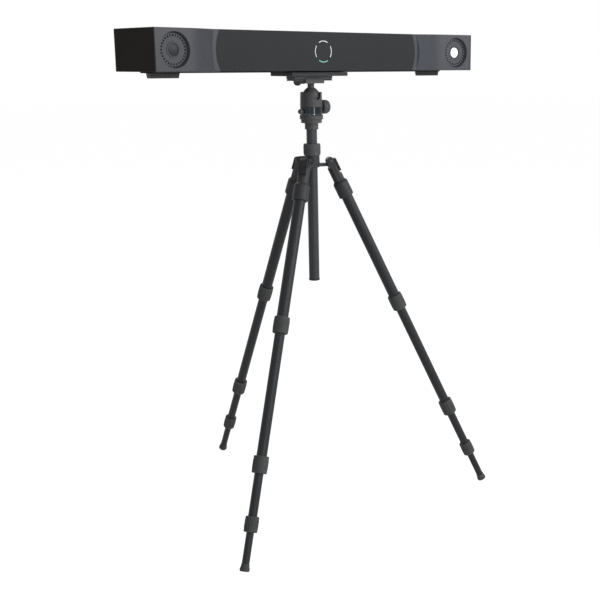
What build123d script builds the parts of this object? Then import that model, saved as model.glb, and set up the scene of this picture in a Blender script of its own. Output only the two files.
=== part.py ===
from build123d import *
import math
import os

# Optical tracking bar with two cameras, on a ball head and a folding tripod.
# Millimetres, +Z up, the bar's front faces -Y and its right end is at +X.
# The origin is on the floor, in the middle of the space that the stand covers.

# Fits and gaps
slide_fit = 0.3  # radial room between sliding leg sections
turn_fit = 0.1  # radial room round turning collars, knobs and pins
glue_gap = 0.05  # radial room of glued and pressed pieces
face_gap = 0.3  # room between faces that move past each other

# Legs
leg_angle = 25.0  # from the vertical
leg_azimuths = {"left": -150, "right": -30, "rear": 90}
pivot_reach = 50.5  # column axis to hinge pin
tube_radii = (16.0, 14.0, 12.0, 10.0)
tube_wall = 1.7
exposed = (327.5, 328.0, 110.5, 80.0)  # bare length of each section, as set in the field
lock_lengths = (46.0, 46.0, 41.0)
lock_radii = (21.2, 20.3, 18.0)
lock_edge = 2.0
inner_lengths = (419.0, 400.0, 390.0)  # second, third and fourth sections
tube_rest = 0.6  # share of a lock's length that the tube above it fills
collar_top = 66.5  # hinge pin to the casting's collar
collar_length = 45.0
collar_wall = 5.7
tube_socket = 36.0  # depth of the top tube in its casting
fork_width = 30.0
fork_depth = 17.0
head_radius = 11.0
foot_length = 19.0
foot_radius = 13.0
foot_top_radius = 10.9
foot_edge = 3.0
foot_socket = 9.5
foot_press = 0.4  # how far the rubber is pressed flat on the floor

# Angle catches
catch_width = 27.0
catch_rise = 1.5
catch_drop = 37.0
catch_plate = 3.8
catch_standoff = 1.8
catch_floor = 11.5  # leg axis to the floor of the catch's seat
catch_travel = 5.0
hook_width = 13.0
hook_height = 4.5
hook_low = -3.0
hook_tip = 7.3  # leg axis to the hook's point
guide_radius = 2.5
guide_drop = 27.0
guide_depth = 8.0

# Shoulder
ear_width = 14.0
ear_radius = 7.0
tooth_radius = 11.3
tooth_inner = 7.0  # hinge pin to the tooth's flat sides
tooth_outer = 9.0
pin_radius = 3.5
arm_drop = 14.7  # hinge pin down to the arm's underside
arm_height = 9.3
arm_root_width = 26.0
hub_radius = 21.0
hub_height = 33.0
sleeve_wall = 3.2
sleeve_height = 23.0

# Centre column
column_radius = 15.0
column_wall = 2.2
column_bottom = 667.0
cap_radius = 16.0
cap_height = 5.0
cap_plug = 14.0
column_lock_radius = 23.7
column_lock_height = 32.7
column_lock_edge = 1.5
cup_height = 18.0
cup_wall = 4.0
disc_radius = 29.2
disc_height = 9.8
column_gap = 39.7  # bare tube between the column's lock and its top plate

# Ball head
base_radius = 32.8
base_height = 12.2
spigot_radius = 12.0
spigot_height = 12.0
ring_radius = 31.3
ring_height = 21.4
skirt_radius = 28.4
housing_low_radius = 31.0
housing_top_radius = 30.0
housing_height = 63.2
housing_edge = 1.5
ball_radius = 24.0
ball_rise = 52.5  # pan base to the ball's centre
mouth_radius = 21.5
notch_radius = 10.4
stem_radius = 9.85
stem_waist = 9.0
stem_top = 33.9  # ball's centre to the stem's top
ball_lock_radius = 19.0
ball_lock_start = 34.0
ball_lock_length = 23.0
ball_lock_edge = 5.0
ball_lock_groove = 0.7
ball_lock_rise = 21.0
boss_radius = 12.0
boss_reach = 33.5
lock_shaft_radius = 4.0
lock_shaft_depth = 6.0
pan_lock_radius = 6.3
pan_lock_start = 31.8
pan_lock_length = 11.5
pan_lock_rise = 9.8
pan_shaft_radius = 2.5

# Clamp and plates
plate_line = 5.0  # column axis back to the middle of the clamp and plates
clamp_length = 66.5
clamp_depth = 51.0
clamp_height = 11.6
clamp_floor = 7.0
jaw_depth = 14.5
jaw_travel = 3.0
clamp_fit = 0.1
clamp_knob_radius = 11.0
clamp_knob_length = 11.5
clamp_neck_radius = 6.0
clamp_neck_length = 24.2
clamp_screw_radius = 2.4
clamp_screw_rise = 3.9
release_length = 131.0
release_width = 39.0
release_height = 8.3
dovetail_width = 38.0
dovetail_lip = 1.0
dovetail_slope = 3.0
foot_plate_length = 196.0
foot_plate_depth = 98.0
foot_plate_height = 10.3
foot_plate_edge = 1.5
bolt_radius = 3.2
bolt_head_radius = 5.5
bolt_head_depth = 6.5
bolt_spacing_x = 160.0
bolt_spacing_y = 66.0

# Bar
bar_length = 1083.4
bar_height = 104.0
window_front = 58.3  # column axis forward to the window
bar_back = 91.7  # column axis back to the rear face
end_front = 98.6  # column axis forward to the front corners
cheek_length = 192.7  # bar's end in to the foot of the rising cheek
bend_inset = 123.5  # bar's end in to the bend of the cheek
bend_radius = 140.0
outer_slope = 4.4
wall = 3.0
cover_thickness = 4.0
bar_edge = 2.0
panel_gap = 0.2
window_inset = 4.5  # foot of the cheek in to the window's end
window_arc = 118.0
band_reach = 5.5  # foot of the cheek out to the end of the band beside the window
band_arc = 228.0
band_depth = 6.0

# Base rail along the underside
rail_height = 3.5
rail_inset = 35.0
rail_depth = 60.0
rail_line = 18.0  # column axis back to the rail's middle
rail_corner = 18.0

# Rear side
bay_length = 150.0
bay_height = 54.0
bay_depth = 3.5
bay_corner = 6.0
socket_radius = 9.0
socket_bore = 6.5
socket_depth = 2.8
socket_places = (-42.0, -12.0, 18.0)
vent_inset = 240.0
vent_count = 8
vent_pitch = 11.0
vent_width = 4.0
vent_height = 56.0
vent_depth = 1.6

# Camera modules
lens_inset = 59.3  # bar's end in to the camera's axis
recess_radius = 43.5
recess_floor_radius = 39.3
recess_depth = 8.0
recess_wall = 2.0
marker_thickness = 3.0
marker_count = 28
marker_circle = 34.0
marker_length = 5.0
marker_width = 1.6
marker_pocket = 0.6
barrel_radius = 19.4
barrel_body_radius = 17.0
barrel_length = 46.0
barrel_rise = 1.2
bezel_width = 5.0
bezel_slope = 1.6
glass_thickness = 4.0
glass_crown = 1.2
glass_sink = 2.2
iris_radius = 11.0
iris_depth = 12.0

# Status light
light_radius = 28.4
light_width = 3.2
light_depth = 1.5
light_gap = 26.0  # angle of each gap between the four segments

# Pads under the ends
pad_inset = 82.8
pad_line = 7.8  # column axis back to the pads' middle
pad_length = 86.4
pad_depth = 15.6
pad_draft = 3.0
pad_edge = 1.5
pad_height = 12.6

# Stations along a leg, from its hinge pin
sin_leg = math.sin(math.radians(leg_angle))
cos_leg = math.cos(math.radians(leg_angle))
collar_end = collar_top + collar_length
lock_starts = []
lock_ends = []
station = collar_end
for bare, length in zip(exposed, lock_lengths):
    lock_starts.append(station + bare)
    lock_ends.append(station + bare + length)
    station = lock_ends[-1]
foot_start = station + exposed[3]
foot_end = foot_start + foot_length


def tube_span(index):
    """Top and bottom stations of a leg section."""
    bottom = foot_start + foot_socket
    if index < 3:
        bottom = lock_starts[index] + lock_lengths[index] * tube_rest
    if index == 0:
        return collar_end - tube_socket, bottom
    return bottom - inner_lengths[index - 1], bottom


# Heights
edge_drop = (foot_end - foot_edge) * cos_leg + (foot_radius - foot_edge) * sin_leg + foot_edge
pivot_height = edge_drop - foot_press
hub_bottom = pivot_height - arm_drop - 2.0
hub_top = hub_bottom + hub_height
column_lock_bottom = hub_top + face_gap
column_lock_top = column_lock_bottom + column_lock_height
cup_bottom = column_lock_top + column_gap
disc_bottom = cup_bottom + cup_height
base_bottom = disc_bottom + disc_height
base_top = base_bottom + base_height
ball_height = base_top + ball_rise
housing_top = base_top + housing_height
clamp_bottom = ball_height + stem_top
clamp_top = clamp_bottom + clamp_height
release_bottom = clamp_bottom + clamp_floor + clamp_fit
foot_plate_bottom = clamp_top + release_height
rail_bottom = foot_plate_bottom + foot_plate_height
bar_bottom = rail_bottom + rail_height
bar_top = bar_bottom + bar_height
bar_middle = bar_bottom + bar_height / 2
half_bar = bar_length / 2

# Places along the bar, from its middle
cheek_start = half_bar - cheek_length
bend_place = half_bar - bend_inset
window_half = cheek_start - window_inset
band_half = cheek_start + band_reach
lens_place = half_bar - lens_inset
pad_place = half_bar - pad_inset
vent_place = half_bar - vent_inset

# The front feet stand half as far forward as the rear foot stands back.
foot_reach = pivot_reach + foot_end * sin_leg
column_line = -foot_reach * (1 - math.sin(math.radians(30))) / 2

parts = {}


def turned(points):
    """A solid of revolution about Z from (radius, height) points."""
    outline = [Vector(radius, 0, height) for radius, height in points]
    return revolve(make_face(Polyline(*outline, close=True)), Axis.Z)


def on_leg(shape, azimuth):
    """Carry a piece from the leg's own frame (pin at 0, leg along -Z) to its place."""
    seat = Rot(0, 0, azimuth) * Pos(pivot_reach, 0, pivot_height) * Rot(0, -leg_angle, 0)
    return seat * shape


# Leg pieces, each in the leg's own frame


def leg_casting():
    body_radius = tube_radii[0]
    collar_radius = body_radius + collar_wall
    tube_top = tube_span(0)[0]
    body = turned(
        [
            (0, -fork_depth),
            (body_radius, -fork_depth),
            (body_radius, -collar_top + 5),
            (collar_radius - 1.5, -collar_top),
            (collar_radius, -collar_top - 3),
            (collar_radius, -collar_end + 2),
            (collar_radius - 2, -collar_end),
            (body_radius + glue_gap, -collar_end),
            (body_radius + glue_gap, -tube_top + face_gap),
            (0, -tube_top + face_gap),
        ]
    )
    flats = Pos(0, 0, -collar_end) * Box(
        4 * body_radius, fork_width, 2 * collar_end, align=(Align.CENTER, Align.CENTER, Align.MIN)
    )
    lower = Pos(0, 0, -collar_top + 5) * Box(
        4 * body_radius,
        4 * body_radius,
        2 * collar_end,
        align=(Align.CENTER, Align.CENTER, Align.MAX),
    )
    head = Plane.XZ * (
        Circle(head_radius)
        + Pos((catch_floor - head_radius) / 2, -fork_depth / 2 - 1)
        * Rectangle(catch_floor + head_radius, fork_depth + 2)
    )
    head = extrude(head, fork_width / 2, both=True)
    slot = Pos(0, 0, -fork_depth) * Box(
        6 * head_radius,
        ear_width + 2 * face_gap,
        4 * fork_depth,
        align=(Align.CENTER, Align.CENTER, Align.MIN),
    )
    seat = Pos(catch_floor, 0, -catch_drop - 6) * Box(
        2 * body_radius, 4 * body_radius, 4 * catch_drop, align=(Align.MIN, Align.CENTER, Align.MIN)
    )
    pin_bore = Rot(90, 0, 0) * Cylinder(pin_radius + turn_fit, 2 * fork_width)
    guide = Pos(catch_floor + 1, 0, -guide_drop) * Rot(0, 90, 0)
    guide_bore = guide * Cylinder(
        guide_radius + turn_fit,
        guide_depth + catch_standoff + 1,
        align=(Align.CENTER, Align.CENTER, Align.MAX),
    )
    return (body & (flats + lower)) + head - slot - seat - pin_bore - guide_bore


def catch():
    inner = catch_floor + catch_standoff
    plate = Pos(inner + catch_plate / 2, 0, (catch_rise - catch_drop) / 2) * Box(
        catch_plate, catch_width, catch_rise + catch_drop
    )
    plate = fillet(plate.edges().filter_by(Axis.X), 3)
    plate = chamfer(plate.faces().sort_by(Axis.X)[-1].edges(), 0.8)
    hook = Pos(hook_tip, 0, hook_low) * Box(
        inner + 1 - hook_tip, hook_width, hook_height, align=(Align.MIN, Align.CENTER, Align.MIN)
    )
    guide = Pos(inner + 1, 0, -guide_drop) * Rot(0, 90, 0)
    pin = guide * Cylinder(
        guide_radius, guide_depth + 1, align=(Align.CENTER, Align.CENTER, Align.MAX)
    )
    return plate + hook + pin


def leg_tube(index):
    top, bottom = tube_span(index)
    outer = tube_radii[index]
    bore = outer - tube_wall
    if index < 3:
        bore = tube_radii[index + 1] + slide_fit
    ring = Circle(outer) - Circle(bore)
    return Pos(0, 0, -bottom) * extrude(ring, bottom - top)


def twist_lock(index):
    start, end = lock_starts[index], lock_ends[index]
    outer = lock_radii[index]
    step = tube_span(index)[1] + face_gap
    upper_bore = tube_radii[index] + turn_fit
    lower_bore = tube_radii[index + 1] + slide_fit
    return turned(
        [
            (upper_bore, -start),
            (outer - lock_edge, -start),
            (outer, -start - lock_edge),
            (outer, -end + lock_edge),
            (outer - lock_edge, -end),
            (lower_bore, -end),
            (lower_bore, -step),
            (upper_bore, -step),
        ]
    )


def foot():
    socket = tube_radii[3] + glue_gap
    rubber = turned(
        [
            (socket, -foot_start),
            (foot_top_radius, -foot_start),
            (foot_top_radius, -foot_start - 5),
            (foot_radius, -foot_end + 7),
            (foot_radius, -foot_end),
            (0, -foot_end),
            (0, -foot_start - foot_socket - face_gap),
            (socket, -foot_start - foot_socket - face_gap),
        ]
    )
    return fillet(rubber.faces().sort_by(Axis.Z)[0].edges(), foot_edge)


for name, azimuth in leg_azimuths.items():
    parts[f"{name}_leg_casting"] = on_leg(leg_casting(), azimuth)
    parts[f"{name}_angle_catch"] = on_leg(catch(), azimuth)
    for index in range(4):
        parts[f"{name}_leg_tube_{index + 1}"] = on_leg(leg_tube(index), azimuth)
    for index in range(3):
        parts[f"{name}_twist_lock_{index + 1}"] = on_leg(twist_lock(index), azimuth)
    ground = Pos(foot_reach, 0, 0) * Box(
        8 * foot_radius, 8 * foot_radius, foot_length, align=(Align.CENTER, Align.CENTER, Align.MAX)
    )
    parts[f"{name}_rubber_foot"] = on_leg(foot(), azimuth) - Rot(0, 0, azimuth) * ground

# Shoulder with its three arms


def shoulder_arm():
    """One arm, reaching along +X, with the ear that the leg turns on."""
    low = pivot_height - arm_drop
    side = Plane.XZ * (
        Pos(pivot_reach, pivot_height) * Circle(ear_radius)
        + Pos((hub_radius + pivot_reach) / 2 - 4, low + arm_height / 2)
        * Rectangle(pivot_reach - hub_radius + 4, arm_height)
    )
    web = Plane.XZ * make_hull(
        (Pos(pivot_reach, pivot_height) * Circle(ear_radius)).edges()
        + (Pos(pivot_reach - 9, low + arm_height / 2) * Rectangle(7, arm_height)).edges()
    )
    arm = extrude(side, ear_width / 2, both=True) + extrude(web, ear_width / 2, both=True)
    flare = Pos(0, 0, low) * extrude(
        Polygon(
            (hub_radius - 4, -arm_root_width / 2),
            (pivot_reach - head_radius - 4, -ear_width / 2),
            (pivot_reach - head_radius - 4, ear_width / 2),
            (hub_radius - 4, arm_root_width / 2),
            align=None,
        ),
        arm_height,
    )
    tooth_face = hook_low + hook_height + face_gap
    block = Rectangle(tooth_inner + tooth_outer, 2 * tooth_radius, align=(Align.MIN, Align.MIN))
    tooth = Circle(tooth_radius) & Pos(-tooth_inner, tooth_face) * block
    tooth = extrude(Plane.XZ * tooth, ear_width / 2, both=True)
    tooth = Pos(pivot_reach, 0, pivot_height) * Rot(0, -leg_angle, 0) * tooth
    bore = Pos(pivot_reach, 0, pivot_height) * Rot(90, 0, 0)
    return arm + flare + tooth - bore * Cylinder(pin_radius + glue_gap, 2 * ear_width)


def shoulder():
    sleeve_radius = column_radius + slide_fit + sleeve_wall
    hub = turned(
        [
            (column_radius + slide_fit, hub_bottom),
            (hub_radius - 1, hub_bottom),
            (hub_radius, hub_bottom + 1),
            (hub_radius, hub_top),
            (sleeve_radius, hub_top),
            (sleeve_radius, hub_top + sleeve_height),
            (column_radius + slide_fit, hub_top + sleeve_height),
        ]
    )
    body = hub
    for azimuth in leg_azimuths.values():
        body += Rot(0, 0, azimuth) * shoulder_arm()
    return body - Pos(0, 0, hub_bottom - 1) * Cylinder(
        column_radius + slide_fit,
        hub_height + sleeve_height + 2,
        align=(Align.CENTER, Align.CENTER, Align.MIN),
    )


def hinge_pins():
    pin = Rot(90, 0, 0) * Cylinder(pin_radius, fork_width - 2 * face_gap)
    return [Rot(0, 0, a) * Pos(pivot_reach, 0, pivot_height) * pin for a in leg_azimuths.values()]


parts["shoulder"] = shoulder()
parts["leg_hinge_pins"] = Compound(children=hinge_pins())

# Centre column


def column_tube():
    ring = Circle(column_radius) - Circle(column_radius - column_wall)
    top = disc_bottom - 2
    return Pos(0, 0, column_bottom + cap_height) * extrude(ring, top - column_bottom - cap_height)


def column_end_cap():
    plug = column_radius - column_wall - glue_gap
    return turned(
        [
            (0, column_bottom),
            (cap_radius - 1.5, column_bottom),
            (cap_radius, column_bottom + 1.5),
            (cap_radius, column_bottom + cap_height),
            (plug, column_bottom + cap_height),
            (plug, column_bottom + cap_height + cap_plug),
            (0, column_bottom + cap_height + cap_plug),
        ]
    )


def column_lock():
    sleeve = column_radius + slide_fit + sleeve_wall + turn_fit
    step = hub_top + sleeve_height + face_gap
    return turned(
        [
            (sleeve, column_lock_bottom),
            (column_lock_radius - column_lock_edge, column_lock_bottom),
            (column_lock_radius, column_lock_bottom + column_lock_edge),
            (column_lock_radius, column_lock_top - column_lock_edge),
            (column_lock_radius - column_lock_edge, column_lock_top),
            (column_radius + slide_fit, column_lock_top),
            (column_radius + slide_fit, step),
            (sleeve, step),
        ]
    )


def column_top_plate():
    bore = column_radius + glue_gap
    cup_radius = column_radius + cup_wall
    return turned(
        [
            (bore, cup_bottom),
            (cup_radius - 0.8, cup_bottom),
            (cup_radius, cup_bottom + 0.8),
            (cup_radius, disc_bottom),
            (disc_radius, disc_bottom),
            (disc_radius, base_bottom),
            (0, base_bottom),
            (0, disc_bottom - 1.5),
            (bore, disc_bottom - 1.5),
        ]
    )


parts["column_tube"] = column_tube()
parts["column_end_cap"] = column_end_cap()
parts["column_twist_lock"] = column_lock()
parts["column_top_plate"] = column_top_plate()

# Ball head


def pan_base():
    return turned(
        [
            (0, base_bottom),
            (base_radius - 1, base_bottom),
            (base_radius, base_bottom + 1),
            (base_radius, base_top - 1),
            (base_radius - 1, base_top),
            (spigot_radius, base_top),
            (spigot_radius, base_top + spigot_height),
            (0, base_top + spigot_height),
        ]
    )


def across(radius, start, reach, height):
    """A cylinder along +X from start to reach."""
    turn = Pos(start, 0, height) * Rot(0, 90, 0)
    return turn * Cylinder(radius, reach - start, align=(Align.CENTER, Align.CENTER, Align.MIN))


def pan_ring():
    low = base_top + face_gap
    ring = Circle(ring_radius) - Circle(skirt_radius + glue_gap)
    ring = Pos(0, 0, low) * extrude(ring, ring_height - face_gap)
    boss = across(boss_radius + face_gap, skirt_radius - 4, ring_radius + 4, base_top + ball_lock_rise)
    shaft = across(pan_shaft_radius + turn_fit, skirt_radius - 4, ring_radius + 4, 0)
    return ring - boss - Pos(0, 0, base_top + pan_lock_rise) * Rot(0, 0, 180) * shaft


def ball_housing():
    low = base_top + face_gap
    shelf = base_top + ring_height + face_gap
    body = turned(
        [
            (0, low),
            (skirt_radius, low),
            (skirt_radius, shelf),
            (housing_low_radius - 0.8, shelf),
            (housing_low_radius, shelf + 0.8),
            (housing_top_radius, housing_top - housing_edge),
            (housing_top_radius - housing_edge, housing_top),
            (0, housing_top),
        ]
    )
    lock_height = base_top + ball_lock_rise
    body += across(boss_radius, skirt_radius - 4, boss_reach, lock_height)
    centre = Pos(0, 0, ball_height)
    body -= centre * Sphere(ball_radius + turn_fit)
    mouth = housing_top - ball_height
    body -= centre * Cylinder(mouth_radius, 2 * mouth, align=(Align.CENTER, Align.CENTER, Align.MIN))
    notch = centre * Rot(90, 0, 0) * extrude(
        Circle(notch_radius) + Pos(0, mouth) * Rectangle(2 * notch_radius, 2 * mouth), 2 * ring_radius
    )
    body -= notch
    bearing = turned(
        [
            (0, low - 1),
            (spigot_radius + turn_fit, low - 1),
            (spigot_radius + turn_fit, base_top + spigot_height + face_gap),
            (0, base_top + spigot_height + face_gap),
        ]
    )
    lock_bore = across(
        lock_shaft_radius + turn_fit, boss_reach - lock_shaft_depth - 3, boss_reach + 1, lock_height
    )
    pan_bore = across(pan_shaft_radius + turn_fit, skirt_radius - 6, skirt_radius + 1, 0)
    pan_bore = Pos(0, 0, base_top + pan_lock_rise) * Rot(0, 0, 180) * pan_bore
    return body - bearing - lock_bore - pan_bore


def ball_lock_knob():
    """The large knob on +X, turned about its own axis first."""
    radius, edge, length = ball_lock_radius, ball_lock_edge, ball_lock_length
    knob = turned(
        [
            (0, 0),
            (radius - 2, 0),
            (radius, 2),
            (radius, length - 2 * edge - 1.2),
            (radius - ball_lock_groove, length - 2 * edge - 0.6),
            (radius, length - 2 * edge),
            (radius, length - edge),
            (radius - edge * 0.293, length - edge * 0.293),
            (radius - edge, length),
            (0, length),
        ]
    )
    shaft = Cylinder(
        lock_shaft_radius,
        ball_lock_start - boss_reach + lock_shaft_depth,
        align=(Align.CENTER, Align.CENTER, Align.MAX),
    )
    seat = Pos(ball_lock_start, 0, base_top + ball_lock_rise) * Rot(0, 90, 0)
    return seat * (knob + shaft)


def pan_lock_knob():
    knob = turned(
        [
            (0, 0),
            (pan_lock_radius, 0),
            (pan_lock_radius, pan_lock_length - 1.5),
            (pan_lock_radius - 1.5, pan_lock_length),
            (0, pan_lock_length),
        ]
    )
    shaft = Cylinder(
        pan_shaft_radius,
        pan_lock_start - skirt_radius + 4,
        align=(Align.CENTER, Align.CENTER, Align.MAX),
    )
    seat = Pos(-pan_lock_start, 0, base_top + pan_lock_rise) * Rot(0, -90, 0)
    return seat * (knob + shaft)


def ball_stem():
    foot_height = math.sqrt(ball_radius**2 - stem_radius**2) - 3
    stem = turned(
        [
            (0, foot_height),
            (stem_radius, foot_height),
            (stem_radius, foot_height + 5),
            (stem_waist, foot_height + 8),
            (stem_radius, stem_top),
            (0, stem_top),
        ]
    )
    return Pos(0, 0, ball_height) * (stem - Sphere(ball_radius + turn_fit))


parts["pan_base"] = pan_base()
parts["pan_ring"] = pan_ring()
parts["ball_housing"] = ball_housing()
parts["ball_lock_knob"] = ball_lock_knob()
parts["pan_lock_knob"] = pan_lock_knob()
parts["head_ball"] = Pos(0, 0, ball_height) * Sphere(ball_radius)
parts["ball_stem"] = ball_stem()

# Quick-release clamp and the two plates, drawn across the dovetail


def slab(outline, length):
    """A prism along X from a (depth, height) outline."""
    return extrude(Plane.YZ * Polygon(*outline, align=None), length / 2, both=True)


clamp_front = plate_line - clamp_depth / 2
clamp_back = plate_line + clamp_depth / 2
jaw_front = clamp_back - jaw_depth
dovetail_half = dovetail_width / 2
lip_top = release_bottom + dovetail_lip
slope_top = lip_top + dovetail_slope
neck_half = dovetail_half - dovetail_slope
floor_height = clamp_bottom + clamp_floor
screw_height = clamp_bottom + clamp_screw_rise


def clamp_body():
    front_wall = plate_line - dovetail_half - clamp_fit
    front_lip = plate_line - neck_half - clamp_fit
    body = slab(
        [
            (clamp_front, clamp_bottom),
            (jaw_front - face_gap, clamp_bottom),
            (jaw_front - face_gap, floor_height),
            (front_wall, floor_height),
            (front_wall, lip_top),
            (front_lip, slope_top),
            (front_lip, clamp_top - face_gap),
            (clamp_front, clamp_top - face_gap),
        ],
        clamp_length,
    )
    bore = Pos(0, jaw_front + 1, screw_height) * Rot(-90, 0, 0)
    bore = bore * Cylinder(
        clamp_screw_radius + turn_fit, jaw_front - clamp_front, align=(Align.CENTER, Align.CENTER, Align.MAX)
    )
    corners = body.edges().filter_by(Axis.Z).group_by(Axis.Y)[0]
    return fillet(corners, 3) - bore


def clamp_jaw():
    back_wall = plate_line + dovetail_half + clamp_fit
    back_lip = plate_line + neck_half + clamp_fit
    jaw = slab(
        [
            (jaw_front, clamp_bottom),
            (clamp_back, clamp_bottom),
            (clamp_back, clamp_top - face_gap),
            (back_lip, clamp_top - face_gap),
            (back_lip, slope_top),
            (back_wall, lip_top),
            (back_wall, floor_height),
            (jaw_front, floor_height),
        ],
        clamp_length,
    )
    corners = jaw.edges().filter_by(Axis.Z).group_by(Axis.Y)[-1]
    bore = Pos(0, plate_line, screw_height) * Rot(90, 0, 0)
    return fillet(corners, 3) - bore * Cylinder(clamp_screw_radius + turn_fit, 2 * clamp_depth)


def clamp_knob():
    """Knob, neck and screw along +Y; the screw reaches through the jaw into the body."""
    start = face_gap
    neck_end = start + clamp_neck_length
    knob_end = neck_end + clamp_knob_length
    radius = clamp_knob_radius
    knob = turned(
        [
            (0, start),
            (clamp_neck_radius, start),
            (clamp_neck_radius, neck_end),
            (radius - 1, neck_end),
            (radius, neck_end + 1),
            (radius, knob_end - 1.5),
            (radius - 1.5, knob_end),
            (0, knob_end),
        ]
    )
    screw = Cylinder(
        clamp_screw_radius,
        clamp_depth * 0.7,
        align=(Align.CENTER, Align.CENTER, Align.MAX),
    )
    seat = Pos(0, clamp_back, screw_height) * Rot(-90, 0, 0)
    return seat * (knob + Pos(0, 0, start) * screw)


def release_plate():
    half = release_width / 2
    return slab(
        [
            (plate_line - dovetail_half, release_bottom),
            (plate_line + dovetail_half, release_bottom),
            (plate_line + dovetail_half, lip_top),
            (plate_line + neck_half, slope_top),
            (plate_line + neck_half, clamp_top),
            (plate_line + half, clamp_top),
            (plate_line + half, foot_plate_bottom),
            (plate_line - half, foot_plate_bottom),
            (plate_line - half, clamp_top),
            (plate_line - neck_half, clamp_top),
            (plate_line - neck_half, slope_top),
            (plate_line - dovetail_half, lip_top),
        ],
        release_length,
    )


def bar_foot_plate():
    seat = Pos(0, plate_line, foot_plate_bottom)
    plate = Box(
        foot_plate_length,
        foot_plate_depth,
        foot_plate_height,
        align=(Align.CENTER, Align.CENTER, Align.MIN),
    )
    plate = fillet(plate.edges().filter_by(Axis.Z), 2)
    plate = chamfer(plate.faces().sort_by(Axis.Z)[0].outer_wire().edges(), foot_plate_edge)
    holes = GridLocations(bolt_spacing_x, bolt_spacing_y, 2, 2)
    bolt = Pos(0, 0, -1) * Cylinder(
        bolt_radius, foot_plate_height + 2, align=(Align.CENTER, Align.CENTER, Align.MIN)
    )
    head = Pos(0, 0, -1) * Cylinder(
        bolt_head_radius, bolt_head_depth + 1, align=(Align.CENTER, Align.CENTER, Align.MIN)
    )
    return seat * (plate - holes * bolt - holes * head)


parts["clamp_body"] = clamp_body()
parts["clamp_jaw"] = clamp_jaw()
parts["clamp_knob"] = clamp_knob()
parts["release_plate"] = release_plate()
parts["bar_foot_plate"] = bar_foot_plate()

# Bar: front outline seen from above, as (x, depth) with depth negative towards the front

rise = math.tan(math.radians(outer_slope))
bend_depth = end_front - (half_bar - bend_place) * rise
cheek_rise = (bend_depth - window_front) / (bend_place - cheek_start)


def bar_plan():
    """The bar seen from above, with the bend of each cheek rounded."""
    right = [
        (cheek_start, -window_front),
        (bend_place, -bend_depth),
        (half_bar, -end_front),
        (half_bar, bar_back),
    ]
    left = [(-x, y) for x, y in reversed(right)]
    outline = Polygon(*right, *left, align=None)
    bends = [v for v in outline.vertices() if abs(abs(v.X) - bend_place) < 1]
    return fillet(bends, bend_radius)


def front_band(depth, half_width):
    """The strip of the plan that lies behind the front outline, up to a depth."""
    strip = bar_plan() - Pos(0, depth) * bar_plan()
    return strip & Rectangle(2 * half_width, 2 * (end_front + 1))


def bar_block():
    """The whole bar as one solid with rounded long edges."""
    block = Pos(0, 0, bar_bottom) * extrude(bar_plan(), bar_height)
    rims = block.faces().sort_by(Axis.Z)[-1].edges() + block.faces().sort_by(Axis.Z)[0].edges()
    return fillet(rims, bar_edge)


def lens_axis(side):
    """The frame of one camera, Z forward out of the cheek, at the cheek's face."""
    depth = end_front - (half_bar - lens_place) * rise
    return Plane(
        origin=(side * lens_place, -depth, bar_middle),
        x_dir=(1, -side * rise, 0),
        z_dir=(-side * rise, -1, 0),
    )


def cheek_recess(side):
    """The cone of the camera's recess, from just above the cheek to its floor."""
    above = 2.0
    spread = (recess_radius - recess_floor_radius) / recess_depth
    floor = recess_depth + marker_thickness
    cone = turned(
        [
            (0, above),
            (recess_radius + spread * above, above),
            (recess_floor_radius, -recess_depth),
            (recess_floor_radius, -floor),
            (barrel_body_radius + panel_gap, -floor),
            (barrel_body_radius + panel_gap, -floor - 2 * recess_wall),
            (0, -floor - 2 * recess_wall),
        ]
    )
    return lens_axis(side) * cone


def recess_cup(side):
    """The cup behind the cheek that holds the marker ring."""
    outer = recess_radius + recess_wall
    depth = recess_depth + marker_thickness + recess_wall
    cup = turned(
        [
            (0, -cover_thickness / 2),
            (outer, -cover_thickness / 2),
            (outer - recess_wall, -depth),
            (0, -depth),
        ]
    )
    return lens_axis(side) * cup


def arc_disc(half, radius, height):
    """The column of a large circle whose edge passes x = half at mid height."""
    centre = half - radius
    return Pos(centre, 0, bar_middle) * Rot(90, 0, 0) * Cylinder(radius, height)


def front_skin():
    """The bar's whole front skin over its full height."""
    band = front_band(cover_thickness, half_bar - wall - panel_gap)
    return bar_block() & Pos(0, 0, bar_bottom - 1) * extrude(band, bar_height + 2)


def middle_block():
    """The part of the window's outline between its two rounded ends."""
    return Pos(0, 0, bar_middle) * Box(2 * (window_half - window_arc), 4 * bar_back, 2 * bar_height)


def window():
    right_end = arc_disc(window_half, window_arc, 4 * bar_back)
    panel = front_skin() & (middle_block() + right_end + mirror(right_end, Plane.YZ))
    pockets = extrude(light_segments(panel_gap), light_depth, both=True)
    return panel - Pos(0, -window_front, bar_middle) * Rot(90, 0, 0) * pockets


def front_cover(side):
    """A cheek cover: the band beside the window, the rising cheek and the camera's recess."""
    reach = half_bar - window_half + window_arc / 2
    half = Pos(side * half_bar, 0, bar_middle) * Box(2 * reach, 4 * bar_back, 2 * bar_height)
    inner = arc_disc(window_half + panel_gap, window_arc + panel_gap, 4 * bar_back)
    inner += middle_block()
    step = Pos(band_half - band_arc, -window_front, bar_middle) * Rot(90, 0, 0) * turned(
        [(0, 0), (band_arc, 0), (band_arc + band_depth, band_depth), (0, band_depth)]
    )
    if side < 0:
        inner = mirror(inner, Plane.YZ)
        step = mirror(step, Plane.YZ)
    cover = (front_skin() & half) - inner - step
    return cover + recess_cup(side) - cheek_recess(side)


def light_segments(extra):
    """Four ring segments with a gap on each diagonal, wider all round by extra."""
    half = light_width / 2 + extra
    ring = Circle(light_radius + half) - Circle(light_radius - half)
    bare = 2 * (light_radius * math.sin(math.radians(light_gap / 2)) - extra)
    gaps = Rectangle(3 * light_radius, bare)
    return ring - Rot(0, 0, 45) * gaps - Rot(0, 0, -45) * gaps


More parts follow.
